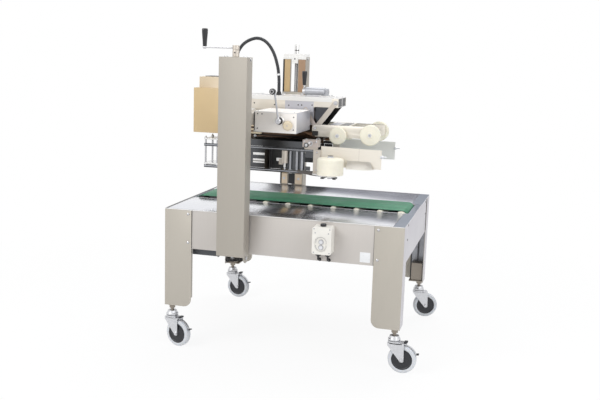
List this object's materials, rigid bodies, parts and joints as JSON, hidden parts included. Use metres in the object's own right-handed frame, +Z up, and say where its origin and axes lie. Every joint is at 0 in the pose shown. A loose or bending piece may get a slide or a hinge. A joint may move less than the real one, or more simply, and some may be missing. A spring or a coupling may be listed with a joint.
{
  "type": "carton sealer machine",
  "caption": "Belt-fed carton sealing machine: a table on casters, two columns and a height-adjustable taping head with side guides and press rollers.",
  "frame": {"origin": "on the floor, under the middle of the bounding box", "axes": "+Z up, +X along the belt towards the end where cartons enter, -Y towards the operator's side with the switch box and the crank column"},
  "size_m": [1.1843, 1.056, 1.4505],
  "materials": {
    "stainless": "brushed stainless sheet, satin",
    "polished": "polished stainless, near mirror",
    "zinc": "bright zinc plate",
    "dark_steel": "blackened steel",
    "motor_paint": "dark grey satin paint",
    "belt": "green PVC conveyor belt, satin",
    "cream_nylon": "cream nylon, satin",
    "tan_paint": "tan enamel, satin",
    "white_plastic": "white enclosure plastic",
    "black_plastic": "black moulded plastic",
    "grey_rubber": "light grey polyurethane tread",
    "button_plastic": "pale grey button plastic"
  },
  "bodies": {
    "frame": {"front_apron": "stainless", "rear_apron": "stainless", "left_end_panel": "stainless", "right_end_panel": "stainless", "leg_front_left": "stainless", "leg_front_right": "stainless", "leg_rear_left": "stainless", "leg_rear_right": "stainless", "table_plate_front": "polished", "table_plate_rear": "polished", "belt_bed": "dark_steel", "conveyor_belt": "belt", "belt_motor": "motor_paint", "front_column": "stainless", "rear_column": "stainless", "switch_box": "white_plastic"},
    "drive_pulley": {"drive_pulley": "dark_steel"},
    "tail_pulley": {"tail_pulley": "zinc"},
    "support_roller_1": {"support_roller_1": "cream_nylon"},
    "support_roller_2": {"support_roller_2": "cream_nylon"},
    "support_roller_3": {"support_roller_3": "cream_nylon"},
    "support_roller_4": {"support_roller_4": "cream_nylon"},
    "support_roller_5": {"support_roller_5": "cream_nylon"},
    "support_roller_6": {"support_roller_6": "cream_nylon"},
    "crank": {"front_lead_screw": "zinc", "crank_arm": "polished"},
    "crank_grip": {"crank_grip": "black_plastic"},
    "rear_screw": {"rear_lead_screw": "zinc"},
    "head": {"lift_carriage": "stainless", "head_beam": "polished", "front_housing": "stainless", "control_box": "tan_paint", "cable_hose": "black_plastic", "adjuster_cylinder": "zinc", "tape_head_frame": "dark_steel", "stay_yoke": "zinc"},
    "start_button": {"start_button": "button_plastic"},
    "stop_button": {"stop_button": "button_plastic"},
    "caster_swivel_front_left": {"caster_fork_front_left": "zinc"},
    "caster_wheel_front_left": {"caster_wheel_front_left": "grey_rubber"},
    "caster_swivel_front_right": {"caster_fork_front_right": "zinc"},
    "caster_wheel_front_right": {"caster_wheel_front_right": "grey_rubber"},
    "caster_swivel_rear_left": {"caster_fork_rear_left": "zinc"},
    "caster_wheel_rear_left": {"caster_wheel_rear_left": "grey_rubber"},
    "caster_swivel_rear_right": {"caster_fork_rear_right": "zinc"},
    "caster_wheel_rear_right": {"caster_wheel_rear_right": "grey_rubber"},
    "clamp_lever": {"clamp_lever": "zinc"},
    "adjuster_lever": {"adjuster_lever": "black_plastic"},
    "side_guide_near": {"side_guide_near": "stainless"},
    "compression_roller_near": {"compression_roller_near": "cream_nylon"},
    "side_guide_far": {"side_guide_far": "stainless"},
    "compression_roller_far": {"compression_roller_far": "cream_nylon"},
    "front_wipe_arm": {"front_wipe_arm": "zinc"},
    "front_wipe_roller": {"front_wipe_roller": "grey_rubber"},
    "rear_wipe_arm": {"rear_wipe_arm": "zinc"},
    "rear_wipe_roller": {"rear_wipe_roller": "grey_rubber"},
    "press_arm": {"press_arm": "polished"},
    "press_wheels_rear": {"press_wheels_rear": "cream_nylon"},
    "press_wheels_front": {"press_wheels_front": "cream_nylon"}
  },
  "joints": [
    {"name": "drive_pulley_spin", "type": "hinge", "parent": "frame", "child": "drive_pulley", "pos_m": [-0.5349, 0, 0.63], "axis": [0, 1, 0], "continuous": true},
    {"name": "tail_pulley_spin", "type": "hinge", "parent": "frame", "child": "tail_pulley", "pos_m": [0.4411, 0, 0.63], "axis": [0, 1, 0], "continuous": true},
    {"name": "support_roller_1_spin", "type": "hinge", "parent": "frame", "child": "support_roller_1", "pos_m": [-0.2109, 0, 0.635], "axis": [0, 1, 0], "continuous": true},
    {"name": "support_roller_2_spin", "type": "hinge", "parent": "frame", "child": "support_roller_2", "pos_m": [-0.1004, 0, 0.635], "axis": [0, 1, 0], "continuous": true},
    {"name": "support_roller_3_spin", "type": "hinge", "parent": "frame", "child": "support_roller_3", "pos_m": [0.0101, 0, 0.635], "axis": [0, 1, 0], "continuous": true},
    {"name": "support_roller_4_spin", "type": "hinge", "parent": "frame", "child": "support_roller_4", "pos_m": [0.1206, 0, 0.635], "axis": [0, 1, 0], "continuous": true},
    {"name": "support_roller_5_spin", "type": "hinge", "parent": "frame", "child": "support_roller_5", "pos_m": [0.2311, 0, 0.635], "axis": [0, 1, 0], "continuous": true},
    {"name": "support_roller_6_spin", "type": "hinge", "parent": "frame", "child": "support_roller_6", "pos_m": [0.3416, 0, 0.635], "axis": [0, 1, 0], "continuous": true},
    {"name": "crank_turn", "type": "hinge", "parent": "frame", "child": "crank", "pos_m": [-0.2449, -0.4915, 1], "axis": [0, 0, -1], "range_deg": [-3601, 4321]},
    {"name": "crank_grip_spin", "type": "hinge", "parent": "crank", "child": "crank_grip", "pos_m": [-0.3859, -0.4915, 1.41], "axis": [0, 0, 1], "continuous": true},
    {"name": "rear_screw_turn", "type": "hinge", "parent": "frame", "child": "rear_screw", "pos_m": [-0.2449, 0.4915, 1], "axis": [0, 0, -1], "range_deg": [-3601, 4321]},
    {"name": "head_lift", "type": "slide", "parent": "frame", "child": "head", "axis": [0, 0, 1], "range_m": [-0.1, 0.12]},
    {"name": "start_button_press", "type": "slide", "parent": "frame", "child": "start_button", "axis": [0, 1, 0], "range_m": [0, 0.004], "stiffness_N_per_m": 500, "springref_m": -0.002},
    {"name": "stop_button_press", "type": "slide", "parent": "frame", "child": "stop_button", "axis": [0, 1, 0], "range_m": [0, 0.004], "stiffness_N_per_m": 500, "springref_m": -0.002},
    {"name": "swivel_front_left", "type": "hinge", "parent": "frame", "child": "caster_swivel_front_left", "pos_m": [-0.5599, -0.42, 0.15], "axis": [0, 0, 1], "continuous": true},
    {"name": "wheel_spin_front_left", "type": "hinge", "parent": "caster_swivel_front_left", "child": "caster_wheel_front_left", "pos_m": [-0.52346, -0.43079, 0.0625], "axis": [0.284, 0.9588, 0], "continuous": true},
    {"name": "swivel_front_right", "type": "hinge", "parent": "frame", "child": "caster_swivel_front_right", "pos_m": [0.4801, -0.42, 0.15], "axis": [0, 0, 1], "continuous": true},
    {"name": "wheel_spin_front_right", "type": "hinge", "parent": "caster_swivel_front_right", "child": "caster_wheel_front_right", "pos_m": [0.5181, -0.42, 0.0625], "axis": [0, 1, 0], "continuous": true},
    {"name": "swivel_rear_left", "type": "hinge", "parent": "frame", "child": "caster_swivel_rear_left", "pos_m": [-0.5599, 0.42, 0.15], "axis": [0, 0, 1], "continuous": true},
    {"name": "wheel_spin_rear_left", "type": "hinge", "parent": "caster_swivel_rear_left", "child": "caster_wheel_rear_left", "pos_m": [-0.52227, 0.41471, 0.0625], "axis": [0.1392, 0.9903, 0], "continuous": true},
    {"name": "swivel_rear_right", "type": "hinge", "parent": "frame", "child": "caster_swivel_rear_right", "pos_m": [0.4801, 0.42, 0.15], "axis": [0, 0, 1], "continuous": true},
    {"name": "wheel_spin_rear_right", "type": "hinge", "parent": "caster_swivel_rear_right", "child": "caster_wheel_rear_right", "pos_m": [0.51663, 0.43047, 0.0625], "axis": [-0.2756, 0.9613, 0], "continuous": true},
    {"name": "clamp_lever_turn", "type": "hinge", "parent": "head", "child": "clamp_lever", "pos_m": [-0.0849, -0.374, 1.062], "axis": [0, 1, 0], "range_deg": [-40, 40]},
    {"name": "adjuster_lever_turn", "type": "hinge", "parent": "head", "child": "adjuster_lever", "pos_m": [-0.0829, 0.05, 1.1765], "axis": [1, 0, 0], "range_deg": [-60, 60]},
    {"name": "side_guide_near_slide", "type": "slide", "parent": "head", "child": "side_guide_near", "axis": [0, 1, 0], "range_m": [-0.05, 0.09]},
    {"name": "compression_roller_near_spin", "type": "hinge", "parent": "side_guide_near", "child": "compression_roller_near", "pos_m": [0.1321, -0.27, 0.857], "axis": [0, 0, 1], "continuous": true},
    {"name": "side_guide_far_slide", "type": "slide", "parent": "head", "child": "side_guide_far", "axis": [0, 1, 0], "range_m": [-0.0901, 0.0501]},
    {"name": "compression_roller_far_spin", "type": "hinge", "parent": "side_guide_far", "child": "compression_roller_far", "pos_m": [0.1321, 0.27, 0.857], "axis": [0, 0, 1], "continuous": true},
    {"name": "front_wipe_arm_swing", "type": "hinge", "parent": "head", "child": "front_wipe_arm", "pos_m": [-0.0219, 0, 1.045], "axis": [0, 1, 0], "range_deg": [0, 25], "stiffness_Nm_per_rad": 2, "springref_deg": -17.19},
    {"name": "front_wipe_roller_spin", "type": "hinge", "parent": "front_wipe_arm", "child": "front_wipe_roller", "pos_m": [-0.0839, 0, 0.947], "axis": [0, 1, 0], "continuous": true},
    {"name": "rear_wipe_arm_swing", "type": "hinge", "parent": "head", "child": "rear_wipe_arm", "pos_m": [-0.1599, 0, 1.045], "axis": [0, 1, 0], "range_deg": [-0.05, 25.05], "stiffness_Nm_per_rad": 2, "springref_deg": -17.19},
    {"name": "rear_wipe_roller_spin", "type": "hinge", "parent": "rear_wipe_arm", "child": "rear_wipe_roller", "pos_m": [-0.2219, 0, 0.947], "axis": [0, 1, 0], "continuous": true},
    {"name": "press_arm_swing", "type": "hinge", "parent": "head", "child": "press_arm", "pos_m": [0.0151, 0, 1.015], "axis": [0, 1, 0], "range_deg": [-14, 0]},
    {"name": "press_wheels_rear_spin", "type": "hinge", "parent": "press_arm", "child": "press_wheels_rear", "pos_m": [0.1281, 0, 0.987], "axis": [0, 1, 0], "continuous": true},
    {"name": "press_wheels_front_spin", "type": "hinge", "parent": "press_arm", "child": "press_wheels_front", "pos_m": [0.2801, 0, 0.997], "axis": [0, 1, 0], "continuous": true}
  ],
  "couplings": [
    {"joint": "tail_pulley_spin", "follows": "drive_pulley_spin", "ratio": 1},
    {"joint": "support_roller_1_spin", "follows": "drive_pulley_spin", "ratio": 1.2273},
    {"joint": "support_roller_2_spin", "follows": "drive_pulley_spin", "ratio": 1.2273},
    {"joint": "support_roller_3_spin", "follows": "drive_pulley_spin", "ratio": 1.2273},
    {"joint": "support_roller_4_spin", "follows": "drive_pulley_spin", "ratio": 1.2273},
    {"joint": "support_roller_5_spin", "follows": "drive_pulley_spin", "ratio": 1.2273},
    {"joint": "support_roller_6_spin", "follows": "drive_pulley_spin", "ratio": 1.2273},
    {"joint": "crank_turn", "follows": "head_lift", "rad_per_m": 628.32},
    {"joint": "rear_screw_turn", "follows": "head_lift", "rad_per_m": 628.32},
    {"joint": "side_guide_far_slide", "follows": "side_guide_near_slide", "ratio": -1},
    {"joint": "rear_wipe_arm_swing", "follows": "front_wipe_arm_swing", "ratio": 1}
  ]
}
